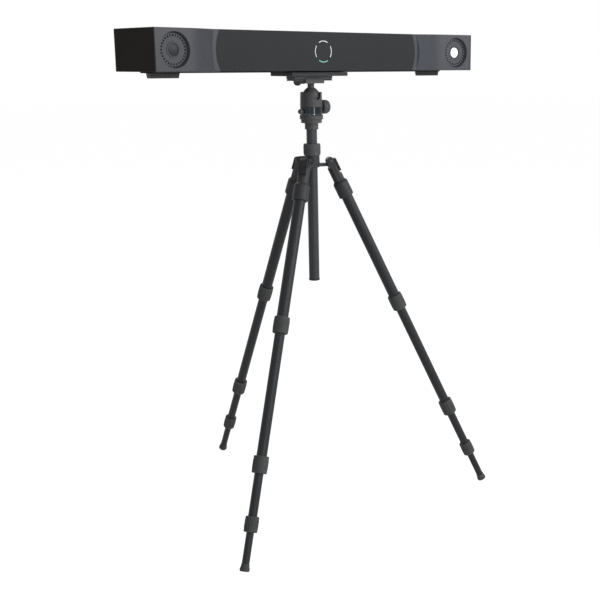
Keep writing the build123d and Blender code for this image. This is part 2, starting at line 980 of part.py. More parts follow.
def status_light():
    segments = extrude(light_segments(0), light_depth)
    return Pos(0, light_depth - window_front, bar_middle) * Rot(90, 0, 0) * segments


def on_back(shape):
    """Stand a piece drawn on XY on the bar's rear face, Z pointing out of it."""
    return Pos(0, bar_back, bar_middle) * Rot(-90, 0, 0) * shape


def connector_bay():
    """The recess for the plugs, as its floor block, its hollow and the sockets in it."""
    opening = RectangleRounded(bay_length, bay_height, bay_corner)
    around = RectangleRounded(bay_length + 2 * wall, bay_height + 2 * wall, bay_corner + wall)
    block = Pos(0, 0, -bay_depth - wall) * extrude(around, bay_depth + wall)
    hollow = Pos(0, 0, -bay_depth) * extrude(opening, 2 * bay_depth)
    ring = Circle(socket_radius) - Circle(socket_bore)
    floor = Pos(0, 0, -bay_depth) * extrude(Circle(socket_radius), bay_depth - socket_depth)
    socket = floor + Pos(0, 0, -bay_depth) * extrude(ring, bay_depth)
    return block, hollow, [Pos(x, 0, 0) * socket for x in socket_places]


def vent_grooves():
    slot = SlotOverall(vent_height, vent_width, rotation=90)
    groove = Pos(0, 0, -vent_depth) * extrude(slot, 2 * vent_depth)
    row = GridLocations(vent_pitch, 1, vent_count, 1)
    return [Pos(side * vent_place, 0, 0) * spot * groove for side in (-1, 1) for spot in row]


def base_rail():
    """The rail along the underside that carries the foot plate and the pads."""
    outline = RectangleRounded(2 * (half_bar - rail_inset), rail_depth, rail_corner)
    return Pos(0, rail_line, rail_bottom) * extrude(outline, rail_height + wall / 2)


def rear_housing():
    """The tub behind the covers, with its two end plates reaching the front."""
    front = front_band(cover_thickness + panel_gap, half_bar - wall)
    depth = bar_back - wall + end_front
    hollow = Pos(0, bar_back - wall - depth / 2, bar_middle) * Box(
        2 * (half_bar - wall), depth, bar_height - 2 * wall
    )
    tub = bar_block() - Pos(0, 0, bar_bottom - 1) * extrude(front, bar_height + 2) - hollow
    block, opening, sockets = connector_bay()
    tub = tub + on_back(block) - on_back(opening) - [on_back(groove) for groove in vent_grooves()]
    return tub + [on_back(socket) for socket in sockets] + base_rail()


for side, name in ((-1, "left"), (1, "right")):
    parts[f"{name}_front_cover"] = front_cover(side)


def marker_ring(side):
    """The ring of light windows round a camera, in the floor of its recess."""
    ring = turned(
        [
            (barrel_radius + panel_gap, 0),
            (recess_floor_radius - glue_gap, 0),
            (recess_floor_radius - glue_gap, -marker_thickness),
            (barrel_radius + panel_gap, -marker_thickness),
        ]
    )
    pocket = Box(marker_length, marker_width, 2 * marker_pocket)
    pockets = [spot * pocket for spot in PolarLocations(marker_circle, marker_count)]
    return lens_axis(side) * Pos(0, 0, -recess_depth) * (ring - pockets)


def lens_barrel(side):
    inner = barrel_radius - bezel_width
    front = barrel_rise
    barrel = turned(
        [
            (0, front - glass_sink - glass_thickness - iris_depth),
            (iris_radius, front - glass_sink - glass_thickness - iris_depth),
            (iris_radius, front - glass_sink - glass_thickness),
            (inner, front - glass_sink - glass_thickness),
            (inner, front - bezel_slope),
            (inner + bezel_slope, front),
            (barrel_radius - 0.6, front),
            (barrel_radius, front - 0.6),
            (barrel_radius, -marker_thickness),
            (barrel_body_radius, -marker_thickness),
            (barrel_body_radius, -barrel_length),
            (0, -barrel_length),
        ]
    )
    return lens_axis(side) * Pos(0, 0, -recess_depth) * barrel


def lens_glass(side):
    radius = barrel_radius - bezel_width - glue_gap
    bulge = (radius**2 + glass_crown**2) / (2 * glass_crown)
    disc = Cylinder(radius, glass_thickness + glass_crown, align=(Align.CENTER, Align.CENTER, Align.MIN))
    dome = Pos(0, 0, glass_thickness + glass_crown - bulge) * Sphere(bulge)
    front = barrel_rise - glass_sink - glass_thickness
    return lens_axis(side) * Pos(0, 0, front - recess_depth) * (disc & dome)


def end_pads():
    half = pad_length / 2
    outline = Polygon(
        (-half, rail_bottom),
        (half, rail_bottom),
        (half - pad_draft, rail_bottom - pad_height),
        (-half + pad_draft, rail_bottom - pad_height),
        align=None,
    )
    pad = extrude(Plane.XZ * outline, pad_depth / 2, both=True)
    pad = fillet(pad.faces().sort_by(Axis.Z)[0].edges(), pad_edge)
    return Compound(children=[Pos(side * pad_place, pad_line, 0) * pad for side in (-1, 1)])


parts["rear_housing"] = rear_housing()
parts["window"] = window()
parts["status_light"] = status_light()
for side, name in ((-1, "left"), (1, "right")):
    parts[f"{name}_marker_ring"] = marker_ring(side)
    parts[f"{name}_lens_barrel"] = lens_barrel(side)
    parts[f"{name}_lens"] = lens_glass(side)
parts["end_pads"] = end_pads()

os.makedirs("parts", exist_ok=True)
for node, shape in parts.items():
    export_step(Pos(0, column_line, 0) * shape, f"parts/{node}.step")
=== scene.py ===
import bmesh
import bpy
import math
from mathutils import Matrix, Vector


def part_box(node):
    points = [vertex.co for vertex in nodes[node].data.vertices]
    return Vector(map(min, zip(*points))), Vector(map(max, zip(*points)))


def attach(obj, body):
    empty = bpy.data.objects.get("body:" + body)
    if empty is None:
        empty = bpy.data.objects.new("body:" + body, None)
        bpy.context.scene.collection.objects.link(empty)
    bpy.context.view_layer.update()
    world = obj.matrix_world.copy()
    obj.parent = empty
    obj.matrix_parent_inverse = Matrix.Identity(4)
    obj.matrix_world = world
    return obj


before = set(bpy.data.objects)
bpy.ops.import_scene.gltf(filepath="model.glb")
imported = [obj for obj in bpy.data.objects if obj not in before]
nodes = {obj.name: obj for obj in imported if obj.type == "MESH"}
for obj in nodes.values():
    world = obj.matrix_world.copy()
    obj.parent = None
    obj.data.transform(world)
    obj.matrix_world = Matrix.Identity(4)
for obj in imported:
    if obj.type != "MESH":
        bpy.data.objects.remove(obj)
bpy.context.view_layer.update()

scene = bpy.context.scene

# Lines and heights of the model, read from the frame


def middle(node):
    low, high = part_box(node)
    return [(a + b) / 2 for a, b in zip(low, high)]


column_y = middle("column_tube")[1]
bar_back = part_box("rear_housing")[1][1]
bar_middle = middle("window")[2]
leg_angle = math.radians(25.0)
leg_azimuths = {"left": math.radians(-150), "right": math.radians(-30), "rear": math.radians(90)}
pivot_reach = 0.0505  # from the column's axis out to a leg's hinge
pivot_height = middle("leg_hinge_pins")[2]

# Shared effects


def add(tree, kind, x, y, **values):
    """A node at a place in the editor, with its properties set."""
    made = tree.nodes.new(kind)
    made.location = (x, y)
    for key, value in values.items():
        setattr(made, key, value)
    return made


def set_values(made, **values):
    """Fill a node's inputs; an underscore stands for a space in an input's name."""
    for key, value in values.items():
        made.inputs[key.replace("_", " ")].default_value = value
    return made


def new_effect(name, inputs, outputs):
    """An empty shader group with its named sockets."""
    tree = bpy.data.node_groups.new(name, "ShaderNodeTree")
    for socket, kind, value in inputs:
        made = tree.interface.new_socket(name=socket, in_out="INPUT", socket_type=kind)
        if value is not None:
            made.default_value = value
    for socket, kind in outputs:
        tree.interface.new_socket(name=socket, in_out="OUTPUT", socket_type=kind)
    return tree, add(tree, "NodeGroupInput", -900, 0), add(tree, "NodeGroupOutput", 700, 0)


def math_node(tree, x, y, operation, *values, clamp=False):
    """A maths node; a value is a number or a socket."""
    made = add(tree, "ShaderNodeMath", x, y, operation=operation, use_clamp=clamp)
    for socket, value in zip(made.inputs, values):
        if isinstance(value, (int, float)):
            socket.default_value = value
        else:
            tree.links.new(value, socket)
    return made.outputs[0]


def noise(tree, x, y, place, **values):
    """A noise that follows the given place."""
    made = set_values(add(tree, "ShaderNodeTexNoise", x, y), **values)
    tree.links.new(place, made.inputs["Vector"])
    return made


def widen(tree, x, y, value, low, high):
    """The part of a value between low and high, spread over 0 to 1."""
    made = set_values(add(tree, "ShaderNodeMapRange", x, y), From_Min=low, From_Max=high)
    tree.links.new(value, made.inputs["Value"])
    return made.outputs[0]


def edge_wear_effect():
    """Masks where edges have rubbed bright, broken up by a fine noise."""
    tree, start, end = new_effect(
        "edge wear",
        [("Vector", "NodeSocketVector", None), ("Amount", "NodeSocketFloat", 0.5)],
        [("Mask", "NodeSocketFloat")],
    )
    place = start.outputs["Vector"]
    rounded = set_values(add(tree, "ShaderNodeBevel", -640, 120, samples=6), Radius=0.0011)
    flat = add(tree, "ShaderNodeNewGeometry", -640, -60)
    turned = add(tree, "ShaderNodeVectorMath", -440, 60, operation="DOT_PRODUCT")
    tree.links.new(rounded.outputs[0], turned.inputs[0])
    tree.links.new(flat.outputs["Normal"], turned.inputs[1])
    bend = math_node(tree, -260, 60, "SUBTRACT", 1.0, turned.outputs["Value"])
    edge = widen(tree, -80, 60, bend, 0.035, 0.22)
    rub = noise(tree, -440, -200, place, Scale=170.0, Detail=4.0, Roughness=0.65)
    broken = widen(tree, -240, -200, rub.outputs[0], 0.42, 0.68)
    both = math_node(tree, 120, 0, "MULTIPLY", edge, broken)
    amount = math_node(tree, 300, 0, "MULTIPLY", both, start.outputs["Amount"], clamp=True)
    tree.links.new(amount, end.inputs["Mask"])
    return tree


def handling_effect():
    """Large soft patches from hands and dust, and finer specks."""
    tree, start, end = new_effect(
        "handling marks",
        [("Vector", "NodeSocketVector", None), ("Scale", "NodeSocketFloat", 14.0)],
        [("Patches", "NodeSocketFloat"), ("Specks", "NodeSocketFloat")],
    )
    place = start.outputs["Vector"]
    soft = noise(tree, -560, 120, place, Detail=5.0, Roughness=0.58, Distortion=0.4)
    tree.links.new(start.outputs["Scale"], soft.inputs["Scale"])
    patches = widen(tree, -340, 120, soft.outputs[0], 0.34, 0.68)
    tree.links.new(patches, end.inputs["Patches"])
    fine = noise(tree, -560, -160, place, Scale=420.0, Detail=2.0)
    specks = widen(tree, -340, -160, fine.outputs[0], 0.6, 0.72)
    tree.links.new(specks, end.inputs["Specks"])
    return tree


def grain_effect():
    """The height of a moulded or cast grain, with rounded cells over a fine tooth."""
    tree, start, end = new_effect(
        "surface grain",
        [("Vector", "NodeSocketVector", None), ("Scale", "NodeSocketFloat", 900.0)],
        [("Height", "NodeSocketFloat")],
    )
    place = start.outputs["Vector"]
    tooth_fineness = 1.7  # of the cells' own scale
    cells = add(tree, "ShaderNodeTexVoronoi", -560, 120, feature="SMOOTH_F1")
    tree.links.new(place, cells.inputs["Vector"])
    tree.links.new(start.outputs["Scale"], cells.inputs["Scale"])
    tooth = noise(tree, -560, -160, place, Detail=3.0)
    finer = math_node(tree, -740, -260, "MULTIPLY", start.outputs["Scale"], tooth_fineness)
    tree.links.new(finer, tooth.inputs["Scale"])
    height = math_node(tree, -120, 0, "ADD", cells.outputs["Distance"], tooth.outputs[0])
    tree.links.new(height, end.inputs["Height"])
    return tree


def draw_lines_effect():
    """Fine lines along a tube's length, left by drawing and brushing."""
    tree, start, end = new_effect(
        "drawn lines",
        [("Vector", "NodeSocketVector", None)],
        [("Lines", "NodeSocketFloat")],
    )
    drawn_out = 0.012  # the noise's scale along the tube, against 1 across it
    around = add(tree, "ShaderNodeMapping", -640, 0)
    set_values(around, Scale=(1.0, 1.0, drawn_out))
    tree.links.new(start.outputs["Vector"], around.inputs["Vector"])
    lines = noise(tree, -400, 0, around.outputs[0], Scale=1500.0, Detail=4.0, Roughness=0.7)
    even = widen(tree, -180, 0, lines.outputs[0], 0.3, 0.7)
    tree.links.new(even, end.inputs["Lines"])
    return tree


effects = {
    "wear": edge_wear_effect(),
    "marks": handling_effect(),
    "grain": grain_effect(),
    "lines": draw_lines_effect(),
}

# Finishes

patch_dark, patch_light = 0.82, 1.16  # how handling patches darken and lighten a colour
rubbed_gain, rubbed_lift = 3.2, 0.05  # how much lighter a rubbed edge is than the colour
dust_share = 0.16


class Finish:
    """A material in the making: its tree, its shader and the place that its patterns follow."""

    def __init__(self, name, turn=None, origin=None):
        self.material = bpy.data.materials.new(name)
        self.material.use_nodes = True
        self.tree = self.material.node_tree
        self.tree.nodes.clear()
        out = add(self.tree, "ShaderNodeOutputMaterial", 900, 0)
        self.shader = add(self.tree, "ShaderNodeBsdfPrincipled", 560, 0)
        self.tree.links.new(self.shader.outputs[0], out.inputs["Surface"])
        self.place = add(self.tree, "ShaderNodeTexCoord", -1300, 0).outputs["Object"]
        if turn is not None:
            mapping = add(self.tree, "ShaderNodeMapping", -1100, 0)
            shift = -(turn @ Vector(origin))
            set_values(mapping, Rotation=turn.to_euler("XYZ"), Location=shift)
            self.tree.links.new(self.place, mapping.inputs["Vector"])
            self.place = mapping.outputs[0]

    def effect(self, which, x, y, **values):
        made = add(self.tree, "ShaderNodeGroup", x, y, node_tree=effects[which])
        self.tree.links.new(self.place, made.inputs["Vector"])
        return set_values(made, **values)

    def mix(self, x, y, amount, first, second):
        """A colour between two colours; a colour is three numbers or a socket."""
        made = add(self.tree, "ShaderNodeMix", x, y, data_type="RGBA")
        self.tree.links.new(amount, made.inputs[0])
        for socket, colour in ((made.inputs[6], first), (made.inputs[7], second)):
            if isinstance(colour, tuple):
                socket.default_value = (*colour, 1.0)
            else:
                self.tree.links.new(colour, socket)
        return made.outputs[2]

    def range(self, x, y, value, low, high):
        """A value between 0 and 1, spread over a range."""
        made = add(self.tree, "ShaderNodeMapRange", x, y)
        self.tree.links.new(value, made.inputs["Value"])
        return set_values(made, To_Min=low, To_Max=high).outputs[0]

    def feed(self, socket, value):
        self.tree.links.new(value, self.shader.inputs[socket])

    def bump(self, x, y, height, depth):
        made = set_values(add(self.tree, "ShaderNodeBump", x, y), Strength=1.0, Distance=depth)
        self.tree.links.new(height, made.inputs["Height"])
        return made.outputs[0]

    def grain(self, scale, depth):
        """Roughen the surface by a grain of the given depth in metres."""
        height = self.effect("grain", -380, -260, Scale=scale).outputs["Height"]
        self.feed("Normal", self.bump(60, -220, height, depth))


def plain_finish(name, colour, rough, metal=0.0, grain=900.0, depth=0.00006, wear=0.35,
                 bright=None, marks=14.0, spread=0.12, gloss=0.5, turn=None, origin=None):
    """A finish with grain, handling marks and rubbed edges in the given colours."""
    f = Finish(name, turn, origin)
    bright = bright or tuple(min(1.0, c * rubbed_gain + rubbed_lift) for c in colour)
    dim = tuple(c * patch_dark for c in colour)
    light = tuple(min(1.0, c * patch_light) for c in colour)
    handled = f.effect("marks", -700, 240, Scale=marks)
    patches = handled.outputs["Patches"]
    body = f.mix(-380, 240, patches, dim, light)
    dust = f.range(-380, 60, handled.outputs["Specks"], 0.0, dust_share)
    dusty = f.mix(-180, 240, dust, body, bright)
    edges = f.effect("wear", -380, -60, Amount=wear)
    f.feed("Base Color", f.mix(60, 200, edges.outputs["Mask"], dusty, bright))
    f.feed("Roughness", f.range(60, 0, patches, rough - spread / 2, rough + spread / 2))
    set_values(f.shader, Metallic=metal, Specular_IOR_Level=gloss)
    f.grain(grain, depth)
    return f.material


def tube_finish(name, colour, turn, origin):
    """Dark anodised tube with lines drawn along it."""
    dark, light, line_share = 0.86, 1.4, 0.2
    rubbed = (0.34, 0.34, 0.35)
    rough_low, rough_high = 0.36, 0.46
    line_depth = 0.000003
    f = Finish(name, turn, origin)
    dim = tuple(c * dark for c in colour)
    line_colour = tuple(c * light for c in colour)
    patches = f.effect("marks", -700, 240, Scale=9.0).outputs["Patches"]
    lines = f.effect("lines", -700, -40).outputs["Lines"]
    body = f.mix(-380, 240, patches, dim, colour)
    lined = f.mix(-180, 200, f.range(-380, 40, lines, 0.0, line_share), body, line_colour)
    edges = f.effect("wear", -380, -160, Amount=0.5)
    f.feed("Base Color", f.mix(60, 200, edges.outputs["Mask"], lined, rubbed))
    uneven = math_node(f.tree, -380, -340, "ADD", lines, patches)
    mean = math_node(f.tree, -180, -340, "MULTIPLY", uneven, 0.5)
    f.feed("Roughness", f.range(60, 0, mean, rough_low, rough_high))
    set_values(f.shader, Specular_IOR_Level=0.2)
    f.feed("Normal", f.bump(60, -220, lines, line_depth))
    return f.material


def leg_turn(azimuth):
    """Turns the model's frame to a leg's own, whose Z runs up the leg."""
    return Matrix.Rotation(leg_angle, 3, "Y") @ Matrix.Rotation(-azimuth, 3, "Z")


def pivot_point(azimuth):
    across, along = pivot_reach * math.cos(azimuth), pivot_reach * math.sin(azimuth)
    return Vector((across, column_y + along, pivot_height))


def dress(finish, *names):
    """Give CAD nodes a finish."""
    for name in names:
        slots = nodes[name].material_slots
        if not slots:
            nodes[name].data.materials.append(finish)
        for slot in slots:
            slot.material = finish


# Finishes of the stand

tube_colour = (0.022, 0.022, 0.0235)
column_colour = (0.052, 0.051, 0.053)
grip_colour = (0.066, 0.064, 0.063)
upright = Matrix.Identity(3)
column_foot = (0.0, column_y, 0.0)

grips = {}
for name, azimuth in leg_azimuths.items():
    turn, origin = leg_turn(azimuth), pivot_point(azimuth)
    tube = tube_finish(f"{name} leg anodised tube", tube_colour, turn, origin)
    dress(tube, *[f"{name}_leg_tube_{i}" for i in (1, 2, 3, 4)])
    grips[name] = plain_finish(f"{name} leg lock grip", grip_colour, 0.66, grain=1100.0,
                               depth=0.00005, wear=0.3, gloss=0.2, turn=turn, origin=origin)
    dress(grips[name], *[f"{name}_twist_lock_{i}" for i in (1, 2, 3)])

cast = plain_finish("cast metal", (0.036, 0.035, 0.036), 0.5, grain=1300.0, depth=0.00004,
                    wear=0.75, gloss=0.2)
dress(cast, "shoulder", *[f"{n}_leg_casting" for n in leg_azimuths])
catch = plain_finish("moulded catch", (0.034, 0.033, 0.034), 0.58, grain=1500.0, depth=0.00003,
                     gloss=0.2)
dress(catch, *[f"{n}_angle_catch" for n in leg_azimuths], "column_end_cap")
rubber = plain_finish("foot rubber", (0.085, 0.083, 0.082), 0.82, grain=700.0, depth=0.00008,
                      wear=0.12, gloss=0.1)
dress(rubber, *[f"{n}_rubber_foot" for n in leg_azimuths])
steel = plain_finish("pin steel", (0.5, 0.5, 0.5), 0.34, metal=1.0, grain=2000.0, depth=0.00001,
                     wear=0.2)
dress(steel, "leg_hinge_pins")
dark_steel = plain_finish("blackened screw steel", (0.045, 0.045, 0.047), 0.4, metal=0.8,
                          grain=2000.0, depth=0.00001, wear=0.3)
column = tube_finish("column anodised tube", column_colour, upright, column_foot)
dress(column, "column_tube")

# Finishes of the head and its plates

head = plain_finish("head casting", (0.072, 0.068, 0.068), 0.5, grain=1700.0, depth=0.00002,
                    wear=0.5, gloss=0.2)
dress(head, "column_top_plate", "pan_base", "ball_housing", "clamp_body", "clamp_jaw",
      "head_ball", "ball_stem")
knob = plain_finish("knob grip", (0.085, 0.083, 0.083), 0.62, grain=1300.0, depth=0.00004,
                    wear=0.3, gloss=0.2)
dress(knob, "ball_lock_knob", "pan_lock_knob", "clamp_knob", "column_twist_lock")
# The foot plate's anodised colour is darkened below the other plate's as painted shade under the
# bar.
shaded_plate_finish = plain_finish("anodised plate with painted shade", (0.026, 0.026, 0.028), 0.5, grain=2200.0, depth=0.00001,
                      wear=0.6, gloss=0.2)
dress(shaded_plate_finish, "bar_foot_plate")
# The release plate has the same anodised finish, made lighter as painted light.
release = plain_finish("release plate anodised with painted light", (0.09, 0.09, 0.093), 0.5, grain=2200.0,
                       depth=0.00001, wear=0.5, gloss=0.2)
dress(release, "release_plate")

# Finishes of the tracking bar

shell = plain_finish("bar shell paint", (0.027, 0.025, 0.023), 0.66, grain=1500.0, depth=0.00004,
                     wear=0.2, marks=7.0, bright=(0.06, 0.06, 0.06), gloss=0.04)
dress(shell, "rear_housing")
cover = plain_finish("cheek cover paint", (0.034, 0.034, 0.042), 0.4, grain=1800.0, depth=0.00001,
                     wear=0.15, marks=6.0, spread=0.06, gloss=0.3)
dress(cover, "left_front_cover", "right_front_cover")
marker = plain_finish("marker ring plastic", (0.064, 0.064, 0.071), 0.5, grain=2000.0,
                      depth=0.00001, wear=0.2, gloss=0.2)
dress(marker, "left_marker_ring", "right_marker_ring")
barrel = plain_finish("lens barrel anodised", (0.04, 0.04, 0.044), 0.42, grain=2400.0,
                      depth=0.00001, wear=0.7, gloss=0.25)
dress(barrel, "left_lens_barrel", "right_lens_barrel")
pads = plain_finish("pad metal", (0.022, 0.021, 0.021), 0.42, grain=1800.0, depth=0.00001,
                    wear=0.4, gloss=0.3)
dress(pads, "end_pads")


def window_finish():
    """Dark satin acrylic with faint dust and wiping marks."""
    dark, light, dust = (0.0265, 0.0275, 0.0295), (0.0305, 0.0315, 0.0335), (0.3, 0.3, 0.3)
    f = Finish("window acrylic")
    handled = f.effect("marks", -700, 200, Scale=5.0)
    patches = handled.outputs["Patches"]
    body = f.mix(-380, 200, patches, dark, light)
    dusty = f.range(-380, 0, handled.outputs["Specks"], 0.0, 0.05)
    f.feed("Base Color", f.mix(-60, 200, dusty, body, dust))
    f.feed("Roughness", f.range(-60, 0, patches, 0.42, 0.47))
    set_values(f.shader, Specular_IOR_Level=0.07)
    f.grain(2400.0, 0.000008)
    return f.material


def light_finish():
    """Frosted status light, white above and green in its lowest arc, lit within a circle."""
    green_drop = 0.0185  # from the light's middle down to the green
    lit_radius = 0.0287
    unlit = (0.02, 0.021, 0.022)
    f = Finish("status light diffuser")
    axes = add(f.tree, "ShaderNodeSeparateXYZ", -900, 0)
    f.tree.links.new(f.place, axes.inputs[0])
    lowest = math_node(f.tree, -700, 0, "LESS_THAN", axes.outputs["Z"], bar_middle - green_drop)
    handled = f.effect("marks", -700, 240, Scale=60.0)
    patches = handled.outputs["Patches"]
    white = f.mix(-380, 240, patches, (0.56, 0.56, 0.56), (0.62, 0.62, 0.62))
    green = f.mix(-380, 0, patches, (0.12, 0.42, 0.26), (0.16, 0.5, 0.32))
    colour = f.mix(-100, 120, lowest, white, green)
    rise = math_node(f.tree, -700, -340, "SUBTRACT", axes.outputs["Z"], bar_middle)
    squares = [
        math_node(f.tree, -700, -200, "POWER", axes.outputs["X"], 2.0),
        math_node(f.tree, -620, -340, "POWER", rise, 2.0),
    ]
    radius = math_node(f.tree, -540, -280, "SQRT", math_node(f.tree, -620, -280, "ADD", *squares))
    lit = math_node(f.tree, -380, -280, "LESS_THAN", radius, lit_radius)
    f.feed("Base Color", f.mix(60, 120, lit, unlit, colour))
    f.feed("Emission Color", colour)
    f.feed("Emission Strength", math_node(f.tree, 60, -280, "MULTIPLY", lit, 0.35))
    f.feed("Roughness", f.range(-60, -120, handled.outputs["Specks"], 0.4, 0.5))
    return f.material


def ring_finish():
    """Polished ring with fine degree marks along its lower edge."""
    mark_count = 72
    mark_share = 0.14  # of the step from mark to mark
    mark_height = 0.0042
    f = Finish("polished pan ring", upright, column_foot)
    low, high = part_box("pan_ring")
    axes = add(f.tree, "ShaderNodeSeparateXYZ", -900, 0)
    f.tree.links.new(f.place, axes.inputs[0])
    angle = math_node(f.tree, -720, 0, "ARCTAN2", axes.outputs["Y"], axes.outputs["X"])
    steps = math_node(f.tree, -560, 0, "MULTIPLY", angle, mark_count / (2 * math.pi))
    part = math_node(f.tree, -400, 0, "FRACT", steps)
    line = math_node(f.tree, -240, 0, "LESS_THAN", part, mark_share)
    band = math_node(f.tree, -240, -180, "LESS_THAN", axes.outputs["Z"], low[2] + mark_height)
    mark = math_node(f.tree, -80, 0, "MULTIPLY", line, band)
    patches = f.effect("marks", -720, 300, Scale=30.0).outputs["Patches"]
    body = f.mix(-400, 300, patches, (0.025, 0.028, 0.031), (0.03, 0.034, 0.038))
    f.feed("Base Color", f.mix(100, 200, mark, body, (0.2, 0.2, 0.2)))
    f.feed("Roughness", f.range(100, 0, patches, 0.1, 0.14))
    set_values(f.shader, Metallic=1.0)
    return f.material


def painted_reflection_lens_finish():
    """The right camera's lens, a bright white disc: a painted reflection that glows."""
    f = Finish("lens face with painted reflection")
    patches = f.effect("marks", -700, 200, Scale=50.0).outputs["Patches"]
    # The white colour and the glow below paint a reflection of the studio light onto the lens.
    colour = f.mix(-300, 200, patches, (0.92, 0.92, 0.92), (0.96, 0.96, 0.96))
    f.feed("Base Color", colour)
    f.feed("Emission Color", colour)
    set_values(f.shader, Emission_Strength=0.6)
    f.feed("Roughness", f.range(-300, 0, patches, 0.1, 0.16))
    return f.material


dress(window_finish(), "window")
dress(light_finish(), "status_light")
dress(ring_finish(), "pan_ring")
glass = plain_finish("smoked lens glass", (0.036, 0.036, 0.038), 0.3, grain=3000.0, depth=0.000002,
                     wear=0.0, gloss=0.1)
dress(glass, "left_lens")
# The right lens's white, glowing face is a painted reflection.
dress(painted_reflection_lens_finish(), "right_lens")

# Modelling helpers

smooth_angle = math.radians(32)  # edges that bend more stay sharp


def clear_selection():
    if bpy.context.object and bpy.context.object.mode != "OBJECT":
        bpy.ops.object.mode_set(mode="OBJECT")
    bpy.ops.object.select_all(action="DESELECT")


def choose(piece):
    """Make a piece the only one selected, and the active one."""
    clear_selection()
    piece.select_set(True)
    bpy.context.view_layer.objects.active = piece


def bevel_edges(piece, test, **sizes):
    """Round the edges of a piece that pass a test."""
    choose(piece)
    bpy.ops.object.mode_set(mode="EDIT")
    bpy.ops.mesh.select_all(action="DESELECT")
    mesh = bmesh.from_edit_mesh(piece.data)
    bpy.ops.mesh.select_mode(type="EDGE")
    for edge in mesh.edges:
        edge.select_set(test(edge))
    bmesh.update_edit_mesh(piece.data)
    bpy.ops.mesh.bevel(**sizes)
    bpy.ops.object.mode_set(mode="OBJECT")


def settle(piece, name, finish, body, matrix):
    """Bring a piece to its place, keep that place in its mesh, and let it ride on its body."""
    choose(piece)
    piece.matrix_world = matrix @ piece.matrix_world
    bpy.context.view_layer.update()
    bpy.ops.object.transform_apply(location=True, rotation=True, scale=True)
    piece.name = name
    piece.data.name = name
    piece.data.materials.clear()
    piece.data.materials.append(finish)
    bpy.ops.object.shade_smooth_by_angle(angle=smooth_angle)
    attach(piece, body)


def leg_place(azimuth):
    """Carries a piece from a leg's own frame, with the pin at 0, to its place."""
    turn = Matrix.Rotation(azimuth, 4, "Z") @ Matrix.Rotation(-leg_angle, 4, "Y")
    return Matrix.Translation(pivot_point(azimuth)) @ turn


def copy_round(piece, count):
    """Repeat all of a piece's mesh evenly round the Z axis."""
    choose(piece)
    bpy.ops.object.mode_set(mode="EDIT")
    bpy.ops.mesh.select_all(action="SELECT")
    sweep = 2 * math.pi * (count - 1) / count
    bpy.ops.mesh.spin(steps=count - 1, dupli=True, angle=sweep, center=(0, 0, 0), axis=(0, 0, 1))
    bpy.ops.object.mode_set(mode="OBJECT")


def copy_row(piece, count, step):
    """Repeat a piece's mesh in a straight row."""
    choose(piece)
    row = piece.modifiers.new("row", "ARRAY")
    row.use_relative_offset = False
    row.use_constant_offset = True
    row.constant_offset_displace = step
    row.count = count
    bpy.ops.object.modifier_apply(modifier=row.name)


def screw_head(radius, height, socket_radius, socket_depth):
    """A round screw head with its hexagon socket, standing on its seat at 0."""
    edge_share = 0.22  # of the head's height
    clear_selection()
    bpy.ops.mesh.primitive_cylinder_add(
        vertices=36, radius=radius, depth=height, location=(0, 0, height / 2)
    )
    piece = bpy.context.object
    top = height / 2 - 1e-6
    bevel_edges(piece, lambda e: all(v.co.z > top for v in e.verts),
                offset=height * edge_share, segments=3, profile=0.5)
    clear_selection()
    bpy.ops.mesh.primitive_cylinder_add(
        vertices=6, radius=socket_radius, depth=2 * socket_depth, location=(0, 0, height)
    )
    socket = bpy.context.object
    choose(piece)
    cut = piece.modifiers.new("hexagon socket", "BOOLEAN")
    cut.operation = "DIFFERENCE"
    cut.object = socket
    bpy.ops.object.modifier_apply(modifier=cut.name)
    bpy.data.objects.remove(socket)
    return piece


def grip_ribs(radius, width, length, height, count):
    """Rounded ribs lying along Z, evenly round a cylinder of the given radius."""
    root = 0.0003  # how far a rib reaches into the cylinder
    rounding = min(width * 0.32, height * 0.8)
    clear_selection()
    bpy.ops.mesh.primitive_cube_add(size=1, location=(radius + height / 2 - root, 0, 0))
    rib = bpy.context.object
    rib.scale = (height + 2 * root, width, length)
    bpy.ops.object.transform_apply(location=False, rotation=False, scale=True)
    bevel_edges(rib, lambda e: all(v.co.x > height / 4 for v in e.verts),
                offset=rounding, segments=2, profile=0.6)
    bpy.ops.object.transform_apply(location=True, rotation=False, scale=False)
    copy_round(rib, count)
    return rib


# Grips of the twist locks

lock_stations = ((0.439, 0.485), (0.813, 0.859), (0.9695, 1.0105))  # down the leg from its pin
lock_radii = (0.0212, 0.0203, 0.018)
lock_rib_share = 0.56  # of the collar's length
column_rib_share = 0.6
for name, azimuth in leg_azimuths.items():
    for i, ((start, end), radius) in enumerate(zip(lock_stations, lock_radii), 1):
        length = (end - start) * lock_rib_share
        ribs = grip_ribs(radius, width=0.0019, length=length, height=0.00045, count=28)
        place = leg_place(azimuth) @ Matrix.Translation((0, 0, -(start + end) / 2))
        settle(ribs, f"{name}_lock_ribs_{i}", grips[name], f"{name}_lock_{i}", place)

low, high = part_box("column_twist_lock")
length = (high[2] - low[2]) * column_rib_share
ribs = grip_ribs((high[0] - low[0]) / 2, width=0.0021, length=length, height=0.00045, count=30)
place = Matrix.Translation(middle("column_twist_lock"))
settle(ribs, "column_lock_ribs", knob, "column_lock", place)

# Grips of the head's knobs, each with its ribs' middle this far behind its outer face

ball_lock_grip = 0.0125
pan_lock_grip = 0.0058
clamp_grip = 0.0056
along_x = Matrix.Rotation(math.radians(90), 4, "Y")
along_y = Matrix.Rotation(math.radians(90), 4, "X")

low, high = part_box("ball_lock_knob")
ribs = grip_ribs((high[1] - low[1]) / 2, width=0.0017, length=0.0125, height=0.00045, count=32)
place = Matrix.Translation((high[0] - ball_lock_grip, column_y, (low[2] + high[2]) / 2))
settle(ribs, "ball_lock_knob_ribs", knob, "ball_lock", place @ along_x)

